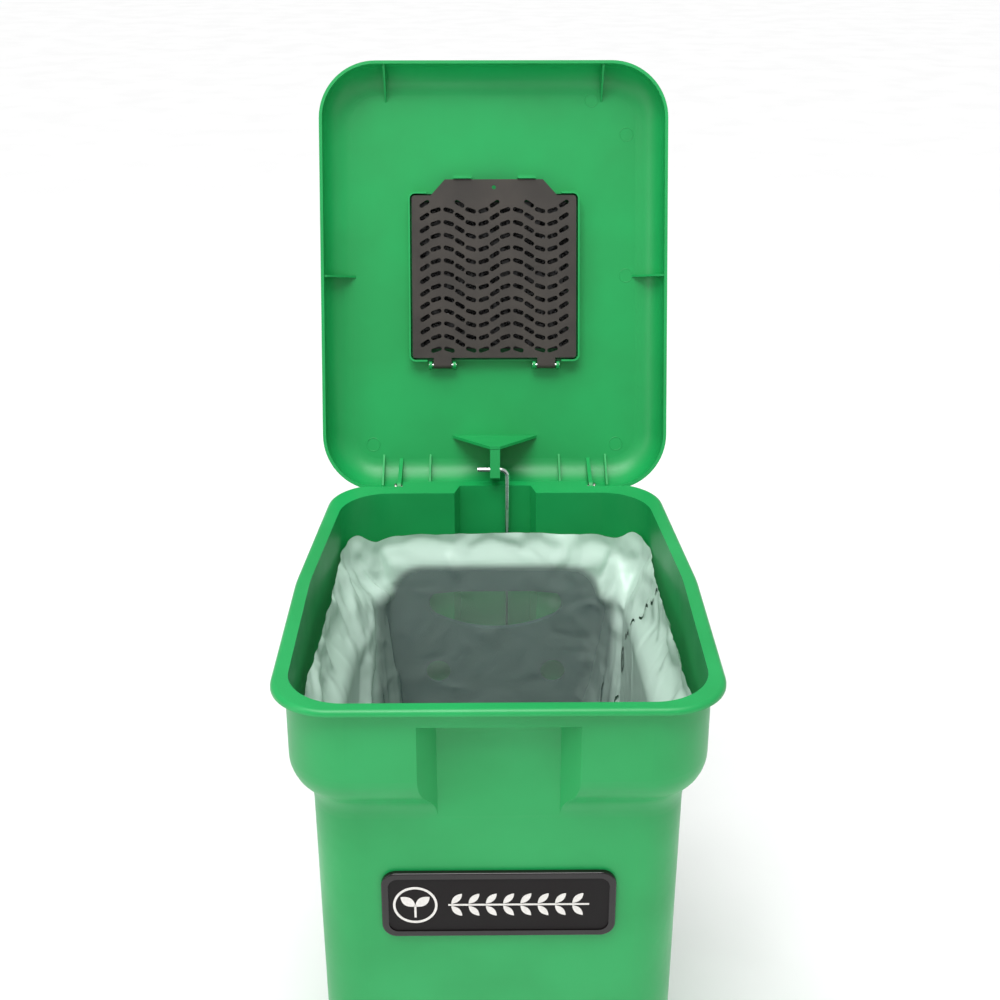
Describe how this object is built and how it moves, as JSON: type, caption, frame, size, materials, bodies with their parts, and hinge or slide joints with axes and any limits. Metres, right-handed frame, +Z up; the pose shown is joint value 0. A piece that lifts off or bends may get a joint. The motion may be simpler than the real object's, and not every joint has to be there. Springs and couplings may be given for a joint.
{
  "type": "pedal waste bin",
  "caption": "Tall moulded waste bin with a hinged filter lid standing open, an inner bucket with a film liner, and a pedal lift rod.",
  "frame": {"origin": "on the floor at the middle of the base", "axes": "+Z up, -Y towards the front with the grip recess and the pedal, +X to the right seen from the front"},
  "size_m": [0.285, 0.4743, 0.7839],
  "materials": {
    "green_polypropylene": "moulded satin",
    "plated_steel": "bright plated",
    "spring_steel": "oiled",
    "galvanised_steel": "zinc",
    "slate_polypropylene": "moulded satin",
    "liner_film": "thin crinkled film",
    "black_rubber": "moulded",
    "charcoal_plastic": "fine texture",
    "activated_carbon": "pellets",
    "black_nylon": "moulded",
    "natural_acetal": "moulded",
    "gloss_black_plastic": "gloss",
    "satin_black_plastic": "satin",
    "pale_ink": "printed"
  },
  "bodies": {
    "bin": {"outer_bin": "green_polypropylene", "hinge_pin_left": "plated_steel", "hinge_pin_right": "plated_steel", "inner_bucket": "slate_polypropylene", "liner_bag": "liner_film", "feet": "black_rubber", "pedal_axle": "plated_steel", "axle_brackets": "galvanised_steel", "bracket_screws": "galvanised_steel", "axle_clips": "spring_steel", "badge_frame": "gloss_black_plastic", "badge_panel": "satin_black_plastic", "badge_emblem": "pale_ink", "badge_marks": "pale_ink"},
    "lid": {"lid_shell": "green_polypropylene", "filter_hinge_pins": "plated_steel", "carbon_filter": "activated_carbon"},
    "filter_door": {"filter_cover": "charcoal_plastic"},
    "rod": {"lift_rod": "plated_steel", "rod_retainer": "spring_steel"},
    "pedal": {"pedal_lever": "black_nylon", "pedal_pad": "black_rubber", "lever_bushes": "natural_acetal"}
  },
  "joints": [
    {"name": "lid_hinge", "type": "hinge", "parent": "bin", "child": "lid", "pos_m": [0, 0.173, 0.455], "axis": [1, 0, 0], "range_deg": [0, 107.2]},
    {"name": "filter_door_hinge", "type": "hinge", "parent": "lid", "child": "filter_door", "pos_m": [0, 0.22454, 0.54373], "axis": [1, 0, 0], "range_deg": [0, 95]},
    {"name": "rod_eye", "type": "hinge", "parent": "lid", "child": "rod", "pos_m": [0, 0.16161, 0.47569], "axis": [1, 0, 0], "range_deg": [-107.2, 0]},
    {"name": "pedal_axle_hinge", "type": "hinge", "parent": "bin", "child": "pedal", "pos_m": [0, -0.075, 0.04], "axis": [1, 0, 0], "range_deg": [-9.5, 0]}
  ],
  "couplings": [
    {"joint": "rod_eye", "follows": "lid_hinge", "ratio": -1},
    {"joint": "pedal_axle_hinge", "follows": "lid_hinge", "ratio": -0.0874}
  ]
}
